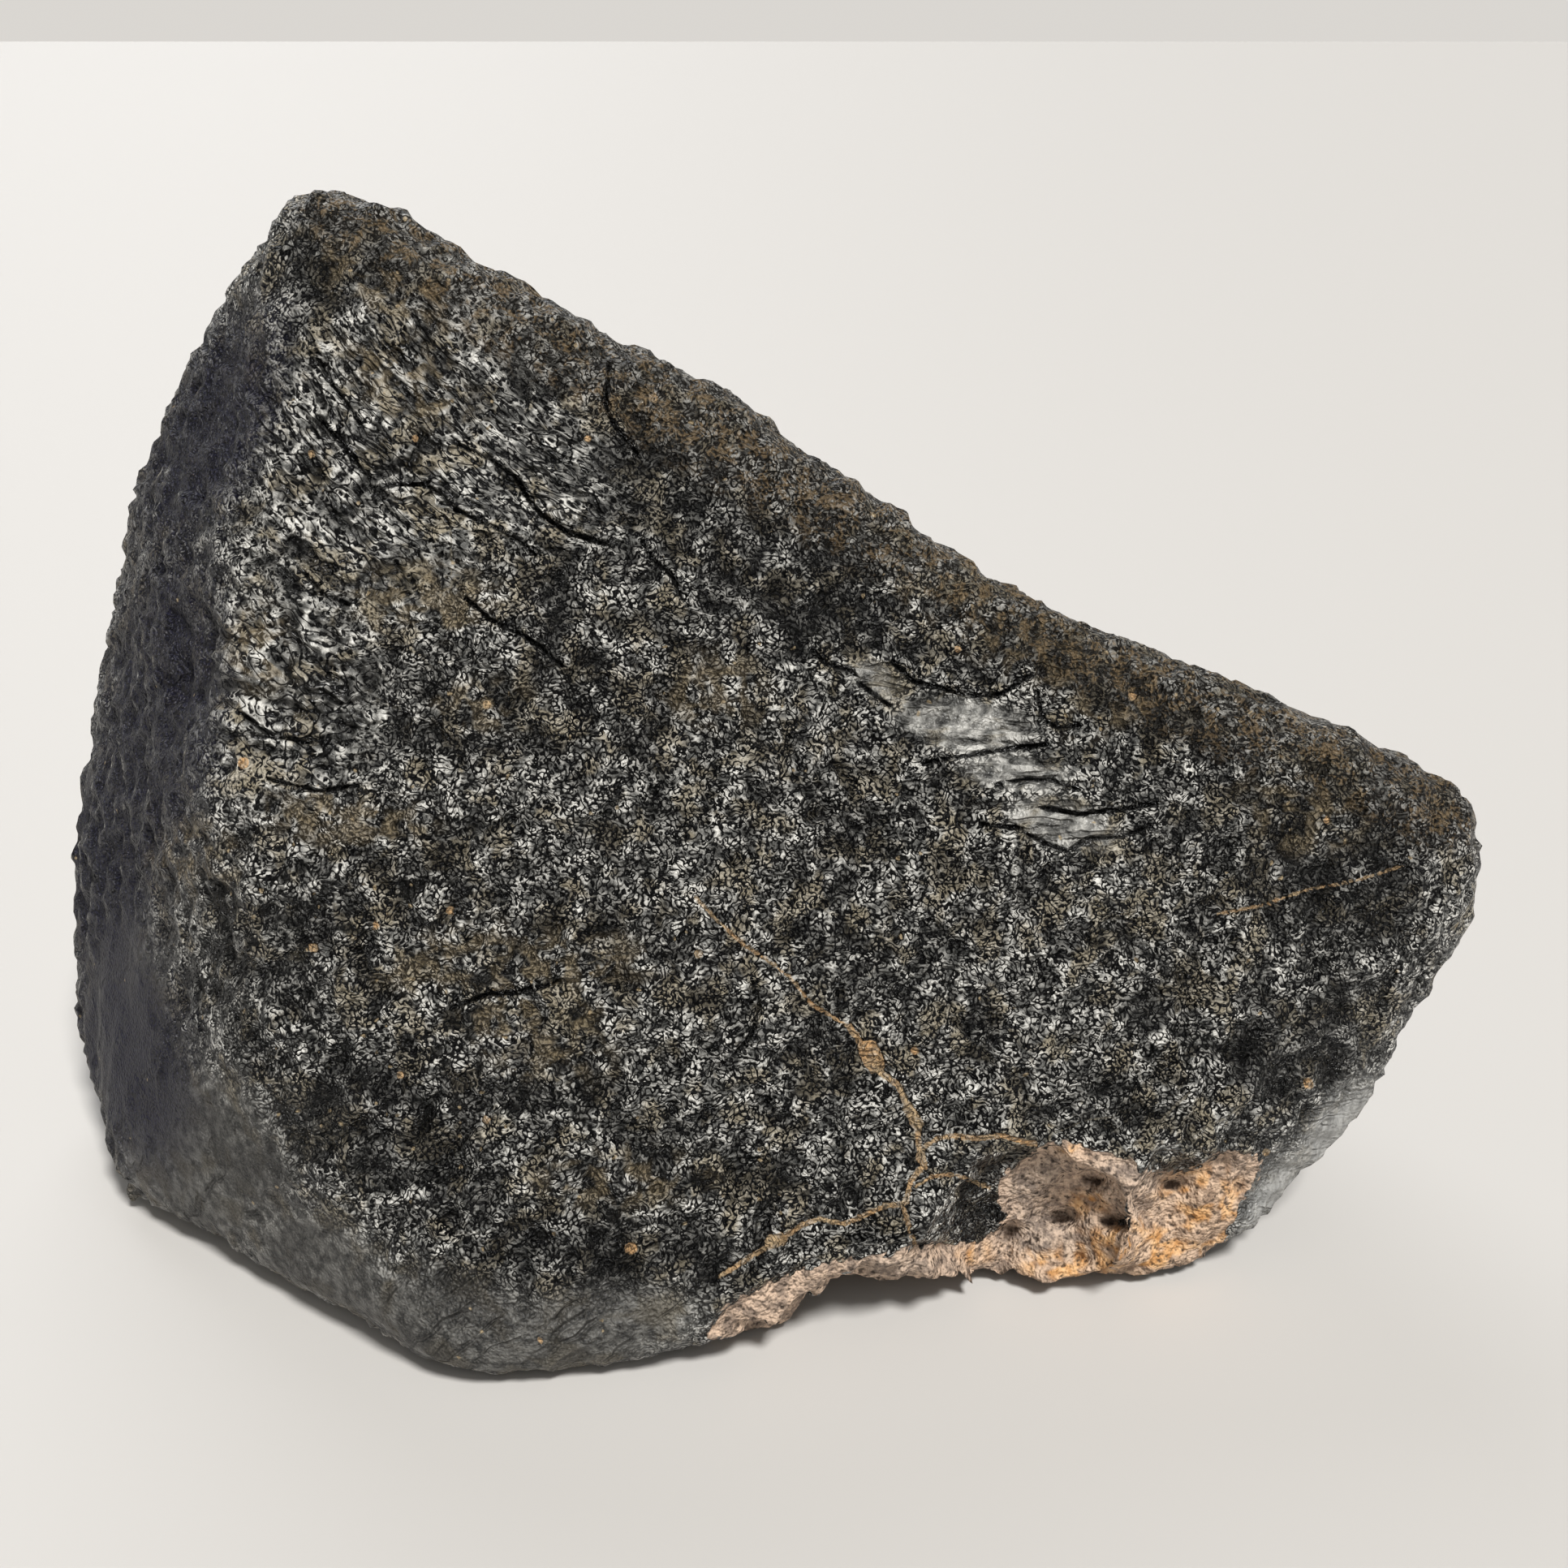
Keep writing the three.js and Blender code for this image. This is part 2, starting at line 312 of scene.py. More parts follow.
# %% [markdown]
# The melt ran while it was soft. Its streaks come in from the left edge and draw together towards the
# right, steeply down from the peak and gently up from the foot. The height over a middle line, squeezed
# more the further left, has just such lines as its contours. Stored as a UV map, with that height one way
# and the distance to the right the other way, it lets any texture be drawn out along the flow.
# %% The flow of the melt
FLOW_MIDDLE = 1010
FLOW_LEFT = 400
FLOW_LENGTH = 700
FLOW_SQUEEZE = 1.26
FLOW_DRAWN_OUT = 12


def flow_map(pixels):
    squeeze = np.exp(-FLOW_SQUEEZE * np.exp(-(pixels[:, 0] - FLOW_LEFT) / FLOW_LENGTH))
    across = (pixels[:, 1] - FLOW_MIDDLE) * squeeze / PIXELS_PER_MM
    along = pixels[:, 0] / PIXELS_PER_MM / FLOW_DRAWN_OUT
    return np.stack((across, along), axis=1)


def store_map(piece, name, values):
    corner = np.empty(len(piece.data.loops), np.int32)
    piece.data.loops.foreach_get("vertex_index", corner)
    layer = piece.data.uv_layers.get(name) or piece.data.uv_layers.new(name=name)
    layer.data.foreach_set("uv", values[corner].astype(np.float32).ravel())


points, _ = points_and_normals(stone)
pixels = photo_pixels(points)
store_map(stone, "flow", flow_map(pixels))
print("flow map stored")

# %% [markdown]
# The relief comes from Displace modifiers, each with its own texture, height and vertex group: wide swells
# first, then lumps, wrinkles and grains. Where the melt ran, streaks and folds are read from the flow map,
# so they lie along it. A texture's size is in metres where the modifier reads the mesh's own coordinates,
# and in millimetres where it reads the flow map.
# %% Relief of the crust


def displace(piece, name, kind, height, group, flow=False, **values):
    texture = bpy.data.textures.new(name, kind)
    for key, value in values.items():
        setattr(texture, key, value)
    reads = {"texture_coords": "UV", "uv_layer": "flow"} if flow else {"texture_coords": "LOCAL"}
    modify(piece, "DISPLACE", texture=texture, strength=height, mid_level=0.5, vertex_group=group, **reads)


def zones_of(piece):
    points, normals = points_and_normals(piece)
    pixels = photo_pixels(points)
    seen = smooth_step(facing(points, normals), -0.1, 0.25)
    return points, normals, pixels, {name: zone(name, pixels, seen) for name in ZONES}


LEAST_GRAIN = 0.35
HUSH_OF_MATT = 0.85
HUSH_OF_CALM = 0.6

points, normals, pixels, zones = zones_of(stone)
broken = broken_depth(points, normals)
crusted = smooth_step(points[:, 2], 0.1 * MM, 1.5 * MM) * smooth_step(-broken, 0.0, 0.4)
lively = 1 - HUSH_OF_MATT * np.maximum(zones["matt"], zones["folded"])
grainy = LEAST_GRAIN + (1 - LEAST_GRAIN) * zones["grainy"]
weigh(stone, "crust", crusted)
weigh(stone, "wrinkled", crusted * lively)
weigh(stone, "streaked", crusted * zones["streaked"])
weigh(stone, "folded", crusted * zones["folded"])
weigh(stone, "grainy", crusted * grainy * lively * (1 - HUSH_OF_CALM * zones["calm"]))
displace(stone, "swells", "CLOUDS", 0.6 * MM, "crust", noise_scale=4.5 * MM, noise_depth=1)
displace(stone, "lumps", "CLOUDS", 1.0 * MM, "wrinkled", noise_scale=1.8 * MM, noise_depth=1)
displace(stone, "wrinkles", "MUSGRAVE", 0.2 * MM, "wrinkled", musgrave_type="RIDGED_MULTIFRACTAL",
         noise_scale=1.6 * MM, octaves=2)
displace(stone, "streaks", "CLOUDS", 1.0 * MM, "streaked", flow=True, noise_scale=0.5, noise_depth=1)
displace(stone, "folds", "CLOUDS", 1.1 * MM, "folded", flow=True, noise_scale=0.95, noise_depth=1)
displace(stone, "grains", "VORONOI", -0.34 * MM, "grainy", noise_scale=0.95 * MM)
print("relief added to", round(100 * float(crusted.mean())), "percent of the skin")

# %% [markdown]
# Broken stone is craggier than crust: it parts along the grains, and leaves hard little steps. A noise
# with sharp creases does that, and a few rounds of smoothing blunt its thinnest spikes. Small dark pits,
# where grains fell out, are pressed in where the photograph has them.
# %% Relief of the broken stone
PIT_DEPTH = 0.9 * MM
BLUNTING_ROUNDS = 5

weigh(stone, "rough", smooth_step(points[:, 2], 0.1 * MM, 0.8 * MM) * smooth_step(broken, 0.0, 0.4))
displace(stone, "crags", "CLOUDS", 1.3 * MM, "rough", noise_scale=2.0 * MM, noise_depth=4,
         noise_type="HARD_NOISE")
displace(stone, "chips", "VORONOI", 0.5 * MM, "rough", noise_scale=1.0 * MM, distance_metric="CHEBYCHEV")
points, normals, pixels, zones = zones_of(stone)
weigh(stone, "pits", zones["hollow"] * smooth_step(broken_depth(points, normals), 0.0, 0.3))
modify(stone, "DISPLACE", strength=-PIT_DEPTH, mid_level=0, vertex_group="pits")
modify(stone, "SMOOTH", factor=0.5, iterations=BLUNTING_ROUNDS, vertex_group="rough")
print("crags and pits added")

# %% [markdown]
# Two small places at the bottom edge of the break are brought to where the photograph has them: the lip of
# the break is lifted a little, and the gap beside it is closed. A Displace modifier that works along Z
# moves them softly, by their weights. Each place has its lift in millimetres and an oval in the photograph.
# %% Even out the lip of the break
LIFTS = [(1.25, (1100, 1592, 150, 60, 0)), (-1.3, (1213, 1548, 34, 30, 0))]

for lift, patch in LIFTS:
    points, _ = points_and_normals(stone)
    near = (points[:, 1] < -8 * MM) & (points[:, 2] > 0.3 * MM)
    weigh(stone, "lift", oval(photo_pixels(points), *patch) * near)
    modify(stone, "DISPLACE", direction="Z", strength=lift * MM, mid_level=0, vertex_group="lift")
print("lifted", len(LIFTS), "places")

# %% [markdown]
# Fine relief needs more triangles than the finished stone may have, so the mesh is thinned now. Decimate
# takes them first where the surface is smooth.
# %% Thin the mesh
BUDGET = 135000

modify(stone, "DECIMATE", ratio=min(1.0, BUDGET / triangles_in(stone)), use_collapse_triangulate=True)
print("the fine stone has", triangles_in(stone), "triangles")

# %% [markdown]
# Creases are where the skin wrinkled as it shrank, and veins are cracks that filled with tan minerals.
# Both are far narrower than a cell of the mesh, so the faces along them are subdivided twice first. Then
# a Displace modifier without a texture presses the creases in, by the weight of a vertex group. Each line
# is a run of pixels in the photograph. A vein, a crack or a spot has its half width in millimetres first.
# %% Lines on the front face
CREASES = [
    [(1100, 816), (1125, 839), (1159, 847), (1189, 857), (1233, 855), (1266, 834)],
    [(1141, 939), (1202, 929), (1240, 923), (1289, 917)],
    [(1210, 1015), (1253, 1020), (1284, 1038), (1317, 1048), (1340, 1033), (1381, 1031), (1419, 1018)],
    [(1284, 995), (1330, 1003), (1381, 997), (1424, 990)],
    [(1279, 852), (1284, 885), (1304, 897), (1330, 893)],
    [(1225, 968), (1262, 960), (1297, 962), (1330, 972)],
    [(1000, 800), (1018, 818), (1050, 826), (1062, 845), (1094, 868)],
    [(555, 543), (603, 565), (638, 590), (648, 610), (667, 635), (702, 657), (746, 670)],
    [(479, 597), (523, 597), (549, 613), (555, 626), (600, 645), (635, 661), (660, 683)],
    [(574, 737), (603, 763), (644, 782), (667, 798), (692, 820)],
    [(389, 434), (405, 469), (428, 498), (443, 520)],
    [(392, 514), (421, 546), (450, 584)],
    [(750, 453), (746, 501), (759, 527), (785, 559)],
    [(790, 665), (805, 690), (830, 712), (842, 740)],
    [(928, 1210), (936, 1240), (926, 1275), (905, 1300)],
    [(560, 1240), (600, 1225), (640, 1222), (690, 1208)],
    [(300, 880), (330, 905), (380, 915)],
    [(330, 960), (390, 975), (440, 968)],
    [(370, 700), (395, 730), (430, 745)],
]
VEINS = [
    (0.07, [(857, 1106), (884, 1134), (915, 1163), (944, 1182), (972, 1203), (1001, 1238), (1047, 1266)]),
    (0.16, [(1047, 1266), (1073, 1301), (1084, 1322)]),
    (0.60, [(1070, 1293), (1078, 1310)]),
    (0.16, [(1084, 1322), (1106, 1336), (1118, 1360)]),
    (0.32, [(1120, 1366), (1130, 1384)]),
    (0.14, [(1130, 1384), (1132, 1412), (1137, 1436)]),
    (0.24, [(1134, 1424), (1138, 1436)]),
    (0.14, [(1137, 1436), (1122, 1456), (1116, 1482)]),
    (0.12, [(1138, 1414), (1155, 1402), (1180, 1400), (1204, 1403), (1232, 1399), (1256, 1406),
            (1276, 1410)]),
    (0.08, [(1128, 1462), (1150, 1449), (1176, 1447), (1200, 1456), (1219, 1464)]),
    (0.12, [(1116, 1482), (1090, 1486), (1068, 1497), (1040, 1508), (1012, 1502), (990, 1508)]),
    (0.36, [(962, 1527), (950, 1530)]),
    (0.11, [(990, 1508), (958, 1530), (930, 1545), (905, 1562), (886, 1572)]),
    (0.10, [(1112, 1484), (1118, 1504), (1124, 1524), (1130, 1540)]),
    (0.05, [(1500, 1126), (1554, 1116), (1608, 1097), (1679, 1083), (1728, 1067)]),
    (0.14, [(1290, 1440), (1254, 1460)]),
]
CRACKS = [
    (0.06, [(1390, 1418), (1412, 1398), (1431, 1381), (1448, 1362), (1466, 1347)]),
    (0.05, [(1449, 1410), (1475, 1396), (1489, 1387), (1510, 1378), (1529, 1364)]),
    (0.04, [(1300, 1396), (1340, 1380), (1372, 1376)]),
    (0.05, [(555, 651), (556, 690), (555, 731)]),
    (0.04, [(606, 645), (594, 660), (581, 673)]),
    (0.04, [(700, 1195), (745, 1180), (790, 1172)]),
]
RIDGE = [(430, 240), (750, 440), (1060, 620), (1370, 800), (1600, 895), (1790, 980)]
SPOTS = [
    (0.22, (860, 1175)), (0.20, (1127, 1295)), (0.34, (300, 940)), (0.18, (1635, 1010)), (0.34, (778, 1538)),
    (0.24, (600, 868)), (0.26, (805, 490)), (0.18, (724, 540)), (0.18, (512, 540)), (0.26, (386, 1168)),
    (0.22, (555, 1122)), (0.2, (463, 1140)), (0.2, (494, 1325)), (0.2, (600, 1380)), (0.2, (384, 560)),
    (0.3, (1612, 1335)), (0.22, (1395, 858)), (0.2, (1180, 800)), (0.24, (668, 1650)), (0.2, (1560, 1420)),
]
FAR = 9.0


def to_line(pixels, line):
    return np.min([to_segment(pixels, a, b) for a, b in zip(line, line[1:])], axis=0) / PIXELS_PER_MM


def to_lines(pixels, lines, seen):
    beyond = [to_line(pixels, line) - half_width for half_width, line in lines]
    return np.where(seen, np.min(beyond, axis=0), FAR)


def to_spots(pixels, seen):
    beyond = [np.linalg.norm(pixels - np.array(at), axis=1) / PIXELS_PER_MM - size for size, at in SPOTS]
    return np.where(seen, np.min(beyond, axis=0), FAR)


def line_distances(piece):
    points, normals = points_and_normals(piece)
    pixels = photo_pixels(points)
    seen = facing(points, normals) > 0.0
    creases = to_lines(pixels, [(0.0, line) for line in CREASES], seen)
    veins = np.minimum(to_lines(pixels, VEINS, seen), to_spots(pixels, seen))
    return creases, veins, to_lines(pixels, CRACKS, seen)


def subdivide_near(piece, chosen):
    only(piece)
    bpy.context.tool_settings.mesh_select_mode = (True, False, False)
    bpy.ops.object.mode_set(mode="EDIT")
    bpy.ops.mesh.select_all(action="DESELECT")
    bpy.ops.object.mode_set(mode="OBJECT")
    piece.data.vertices.foreach_set("select", chosen)
    bpy.ops.object.mode_set(mode="EDIT")
    bpy.ops.mesh.subdivide(number_cuts=1)
    bpy.ops.mesh.select_all(action="SELECT")
    bpy.ops.mesh.quads_convert_to_tris()
    bpy.ops.object.mode_set(mode="OBJECT")


REACHES = (0.55, 0.3)

for reach in REACHES:
    creases, veins, cracks = line_distances(stone)
    rim = np.abs(broken_depth(*points_and_normals(stone)))
    near = (creases < reach) | (np.abs(veins) < reach) | (cracks < reach) | (rim < 0.5 * reach)
    subdivide_near(stone, near)
    print("after subdividing along the lines the stone has", triangles_in(stone), "triangles")

# %% [markdown]
# A crease is a narrow valley with a raised lip on either side. A vein is only just sunk.
# %% Press the creases in
CREASE_DEPTH = 0.26 * MM
LIP_HEIGHT = 0.17 * MM
VEIN_DEPTH = 0.06 * MM

creases, veins, cracks = line_distances(stone)
valleys = 1 - smooth_step(creases, 0.0, 0.28)
crease_lips = smooth_step(creases, 0.1, 0.3) * (1 - smooth_step(creases, 0.3, 0.8))
sunk = 1 - smooth_step(np.minimum(veins, cracks), -0.02, 0.1)
for name, weights, push in (
    ("creases", valleys, -CREASE_DEPTH),
    ("crease lips", crease_lips, LIP_HEIGHT),
    ("veins", sunk, -VEIN_DEPTH),
):
    weigh(stone, name, weights)
    modify(stone, "DISPLACE", strength=push, mid_level=0, vertex_group=name)
print(len(CREASES), "creases and", len(VEINS) + len(CRACKS), "veins and cracks pressed in")

# %% [markdown]
# The looks stay inside the packed stone's box, so the few bumps that stand out of it are pressed back.
# %% Keep inside the box
flat = np.empty(len(stone.data.vertices) * 3, np.float32)
stone.data.vertices.foreach_get("co", flat)
held = np.clip(flat.reshape(-1, 3), np.array(low, np.float32), np.array(high, np.float32))
print(int(np.sum(np.any(held != flat.reshape(-1, 3), axis=1))), "points pressed back into the box")
stone.data.vertices.foreach_set("co", held.ravel())
stone.data.update()

# %% [markdown]
# The shader reads its marks from attributes of the finished mesh. Besides the zones and the distances to
# the lines there are three other kinds. Clouds are slow noises, turned into ranks from 0 to 1, so that a
# share of 0.3 is always the lowest three tenths of the skin. "Raised" says how far a point stands out of
# its surroundings, which are the same mesh after some rounds of averaging neighbours. "Drift" is a slow
# vector noise that later bends the fine patterns. A noise that is worked out here once, for each point of
# the mesh, costs the renderer nothing.
# %% Marks for the shader


def mark(piece, name, values):
    attribute = piece.data.attributes.new(name, "FLOAT", "POINT")
    attribute.data.foreach_set("value", np.asarray(values, np.float32))


def ranks(values):
    return np.argsort(np.argsort(values)) / len(values)


def clouds(points, cycles_per_mm, octaves, start=0.0):
    spots = (points / MM * cycles_per_mm + start).tolist()
    return ranks([noise.fractal(spot, 0.6, 2.0, octaves) for spot in spots])


def raised(piece, points, normals, rounds):
    ends = np.empty(len(piece.data.edges) * 2, np.int32)
    piece.data.edges.foreach_get("vertices", ends)
    ends = ends.reshape(-1, 2)
    here, there = np.concatenate((ends, ends[:, ::-1])).T
    neighbours = np.bincount(here)
    soft = points
    for _ in range(rounds):
        soft = np.stack([np.bincount(here, soft[there, axis]) / neighbours for axis in range(3)], axis=1)
    return ranks(np.sum((points - soft) * normals, axis=1))


print("the skin has", len(stone.data.vertices), "points to mark")

# %% [markdown]
# Each cloud has its name, how many turns it makes in a millimetre, and how many finer layers it has. The
# edge of the break is made ragged by a cloud of its own. The vector noise would start at a place that
# hangs on the clock, so it is given a seed. Zones that only steered the relief aren't stored.
# %% Store the marks
DRIFT_PER_MM = 0.9
DRIFT_SEED = 7
CLOUDS = [("patches", 0.26, 3), ("warm", 0.5, 3), ("dust", 1.0, 3), ("furrowed", 0.42, 2)]
RAGGED_RIM = 0.5
AVERAGING_ROUNDS = 14
RIDGE_HALF_WIDTHS = (1.5, 4.5)
FOR_RELIEF_ONLY = ("calm", "grainy")

points, normals, pixels, zones = zones_of(stone)
creases, veins, cracks = line_distances(stone)
stone.vertex_groups.clear()
mark(stone, "broken", broken_depth(points, normals) + RAGGED_RIM * clouds(points, 1.8, 2))
for name, cycles_per_mm, octaves in CLOUDS:
    mark(stone, name, clouds(points, cycles_per_mm, octaves, 40 + cycles_per_mm * 100))
mark(stone, "raised", raised(stone, points, normals, AVERAGING_ROUNDS))
noise.seed_set(DRIFT_SEED)
drift = [noise.noise_vector(spot) for spot in (points / MM * DRIFT_PER_MM).tolist()]
stone.data.attributes.new("drift", "FLOAT_VECTOR", "POINT").data.foreach_set("vector", np.ravel(drift))
mark(stone, "crease", creases)
mark(stone, "vein", veins)
mark(stone, "crack", cracks)
mark(stone, "ridge", 1 - smooth_step(to_line(pixels, RIDGE), *RIDGE_HALF_WIDTHS))
for name in sorted(set(zones) - set(FOR_RELIEF_ONLY)):
    mark(stone, name, zones[name])
store_map(stone, "flow", flow_map(pixels))
print("marks:", sorted(a.name for a in stone.data.attributes if a.data_type == "FLOAT"))

# %% [markdown]
# A material is a small machine of nodes. These helpers add a node, set its values and wire its inputs in
# one line each, so that the recipes below read like sums. "times" multiplies all that it is given, "plus"
# is its first value times the second, plus the third, and "ramp" maps one range softly onto another.
# %% Helpers for materials


class Recipe:
    def __init__(self, name):
        self.material = bpy.data.materials.new(name)
        self.material.use_nodes = True
        self.tree = self.material.node_tree
        self.shader = self.tree.nodes["Principled BSDF"]

    def feed(self, socket, value):
        if isinstance(value, bpy.types.NodeSocket):
            self.tree.links.new(value, socket)
        elif value is not None:
            socket.default_value = value

    def add(self, kind, inputs, output=0, **settings):
        node = self.tree.nodes.new("ShaderNode" + kind)
        for name, value in settings.items():
            setattr(node, name, value)
        for key, value in inputs.items():
            self.feed(node.inputs[key], value)
        return node.outputs[output]

    def sum(self, operation, a, b=None, c=None, clamp=False):
        return self.add("Math", {0: a, 1: b, 2: c}, operation=operation, use_clamp=clamp)

    def times(self, product, *others):
        for other in others:
            product = self.sum("MULTIPLY", product, other)
        return product

    def plus(self, value, scale, more):
        return self.sum("MULTIPLY_ADD", value, scale, more)

    def highest(self, value, *others):
        for other in others:
            value = self.sum("MAXIMUM", value, other)
        return value

    def bend(self, vector, drift, reach):
        return self.add("VectorMath", {0: drift, 1: reach, 2: vector}, operation="MULTIPLY_ADD")

    def ramp(self, value, start, end, low=0.0, high=1.0):
        ends = {0: value, 1: start, 2: end, 3: low, 4: high}
        return self.add("MapRange", ends, interpolation_type="SMOOTHSTEP")

    def mix(self, share, a, b):
        return self.add("Mix", {0: share, 6: a, 7: b}, output=2, data_type="RGBA")

    def blend(self, share, a, b):
        return self.add("Mix", {0: share, 2: a, 3: b}, output=0, data_type="FLOAT")

    def mark(self, name):
        return self.add("Attribute", {}, output="Fac", attribute_name=name)

    def noise(self, vector, scale, detail=0.0, roughness=0.5):
        values = {"Vector": vector, "Scale": scale, "Detail": detail, "Roughness": roughness}
        return self.add("TexNoise", values, output="Fac")


def rgb(red, green, blue):
    return (red, green, blue, 1.0)


print("a recipe can", [name for name in vars(Recipe) if not name.startswith("_")])

# %% [markdown]
# The finish starts with its coordinates. The crust's pattern is read from the stone's own place, counted
# in millimetres, and from the flow map. A slow drift, kept as a mark on the mesh, bends both a little, so
# that no pattern runs straight.
# %% Finish of the stone: coordinates
FLOW_FINENESS = (9.0, 22.0, 1.0)
DRIFT_OF_PLACE = (0.22, 0.22, 0.22)
DRIFT_OF_FLOW = (0.6, 0.6, 0.6)

look = Recipe("fusion_crust")
place = look.add("TexCoord", {}, output="Object")
place = look.add("Mapping", {"Vector": place, "Scale": (1 / MM, 1 / MM, 1 / MM)})
flow = look.add("UVMap", {}, uv_map="flow")
flow = look.add("Mapping", {"Vector": flow, "Scale": FLOW_FINENESS})
drift = look.add("Attribute", {}, output="Vector", attribute_name="drift")
wander = look.bend(place, drift, DRIFT_OF_PLACE)
flow_wander = look.bend(flow, drift, DRIFT_OF_FLOW)
is_broken = look.ramp(look.mark("broken"), 0.20, 0.30)
streaked = look.mark("streaked")
folded = look.mark("folded")
matt = look.mark("matt")
dusty = look.mark("dusty")
pitted = look.mark("pitted")
ridge = look.mark("ridge")
shade = look.mark("shade")
bevel = look.mark("bevel")
dust = look.mark("dust")
print("marks and coordinates are ready")

# %% [markdown]
# The crust froze as a net of worm-like ridges with black gaps between. A noise crosses its own middle
# value along closed, wandering lines, so its distance from the middle value is a ready map of such gaps.
# Two of them, one for the curls and one for the seams, cut up the beads of a third, finer noise. Where the
# melt streamed, the same net is read from the flow map and comes out drawn into streaks.
# %% Finish of the stone: the net of frozen melt


def from_middle(recipe, vector, scale, middle=0.5):
    return recipe.sum("ABSOLUTE", recipe.sum("SUBTRACT", recipe.noise(vector, scale), middle))


beads = look.noise(wander, 5.0)
curls = look.ramp(from_middle(look, wander, 2.7), 0.0, 0.17, 1.0, 0.0)
seams = look.ramp(from_middle(look, wander, 3.1, 0.47), 0.02, 0.13)
drawn = look.times(streaked, 0.8)
beads = look.blend(drawn, beads, look.noise(flow_wander, 1.0))
curls = look.times(curls, look.blend(drawn, 1.0, 0.35))
seams = look.blend(drawn, seams, look.ramp(from_middle(look, flow_wander, 0.62), 0.0, 0.08))
quiet = look.highest(
    look.times(matt, 0.75),
    look.times(folded, 0.7),
    look.times(bevel, 0.9),
    look.times(shade, 0.2),
)
net = look.highest(look.ramp(beads, 0.42, 0.66), look.times(curls, 0.85))
net = look.times(net, look.ramp(seams, 0.15, 0.9))
net = look.blend(quiet, net, 0.35)
print("the net of frozen melt is ready")

# %% [markdown]
# Long furrows run with the flow, with raised lips. Their black bottoms are painted shade and their pale lips
# a painted highlight, both added in the colour. They come and go, by a slow cloud that was marked on the
# mesh, and they are strongest where the melt streamed.
# %% Finish of the stone: furrows and height
FURROW_FINENESS = (0.15, 0.06, 1.0)
DRIFT_OF_FURROWS = (0.25, 0.25, 0.25)

furrow_map = look.add("Mapping", {"Vector": flow, "Scale": FURROW_FINENESS})
furrow_map = look.bend(furrow_map, drift, DRIFT_OF_FURROWS)
from_furrow = from_middle(look, furrow_map, 1.0)
furrow_share = look.ramp(look.mark("furrowed"), 0.3, 0.7, 0.1, 1.0)
furrow_share = look.times(furrow_share, look.plus(streaked, 0.45, 0.5))
lips = look.times(look.ramp(from_furrow, 0.14, 0.05), furrow_share)
furrows = look.times(look.ramp(from_furrow, 0.07, 0.012), furrow_share)
height = look.plus(beads, 2.2, look.times(curls, 0.45))
height = look.plus(seams, 0.4, height)
height = look.times(height, look.sum("SUBTRACT", 1.0, quiet))
height = look.plus(furrows, -2.4, look.plus(lips, 1.3, height))
print("furrows and height are ready")

# %% [markdown]
# The glass itself is black. What makes the crust grey is the light on its beads, brighter on raised places
# than in hollows, and here that light is painted into the colour: the bead colours are painted glints. How
# strongly each bead is painted is one product: slow patches of random tone, painted highlights on raised
# places and painted shade in hollows, the painted highlights of the sheen zones, the painted shade of the
# dim zones, a darkening where the melt streamed, and painted highlights on the lips of the furrows.
# %% Finish of the stone: colour of the crust
GAP = rgb(0.0015, 0.0015, 0.0018)
DULL_BEAD_GLINT = rgb(0.11, 0.11, 0.104)
BRIGHT_BEAD_GLINT = rgb(0.62, 0.61, 0.57)
WARM_BEAD_GLINT = rgb(0.29, 0.25, 0.175)

# Painted light: highlights on raised places, sheen zones and furrow lips; shade in hollows and dim zones.
painted_light_on_beads = look.times(
    look.ramp(look.mark("patches"), 0.05, 0.9, 0.5, 1.6),
    look.ramp(look.mark("raised"), 0.05, 0.95, 0.3, 1.75),
    look.plus(look.mark("sheen"), 0.7, 1.0),
    look.plus(look.highest(look.mark("dim"), look.times(streaked, 0.3)), -0.7, 1.0),
    look.plus(lips, 0.6, 0.95),
)
# The bead colours are painted glints; the warm one tints them in places.
bead_glint_colour = look.mix(look.ramp(look.noise(wander, 1.6), 0.3, 0.7), DULL_BEAD_GLINT, BRIGHT_BEAD_GLINT)
bead_glint_colour = look.mix(look.ramp(look.mark("warm"), 0.5, 0.9, 0.0, 0.75), bead_glint_colour, WARM_BEAD_GLINT)
glint_share = look.sum("MULTIPLY", look.ramp(net, 0.03, 0.44), painted_light_on_beads, clamp=True)
crust = look.mix(glint_share, GAP, bead_glint_colour)
print("the net is coloured")

# %% [markdown]
# Some places differ. The folds have a smooth skin, mottled with a painted sheen. The foot and the lower left
# are matt, and the left face is nearly black, a little blue: painted shade with a painted blue reflection.
# The bevel at the right is grey, with scratches down it.
# %% Finish of the stone: calm places
# The black of the furrows and pits is painted shade.
PAINTED_SHADE_BLACK = rgb(0.003, 0.003, 0.003)
SKIN_DARK = rgb(0.012, 0.012, 0.012)
SKIN_SHEEN = rgb(0.26, 0.256, 0.24)
MATT_DARK = rgb(0.008, 0.008, 0.008)
MATT_PALE = rgb(0.05, 0.048, 0.044)
# Painted shade for the left face, with a painted blue reflection.
BLUE_BLACK = rgb(0.002, 0.002, 0.008)
BLUE_GREY = rgb(0.010, 0.010, 0.026)
BEVEL_GREY_DARK = rgb(0.20, 0.20, 0.195)
BEVEL_GREY_PALE = rgb(0.33, 0.33, 0.32)
DOWN_THE_BEVEL = {"Rotation": (0.0, math.radians(35), 0.0), "Scale": (3.2, 3.2, 0.5)}

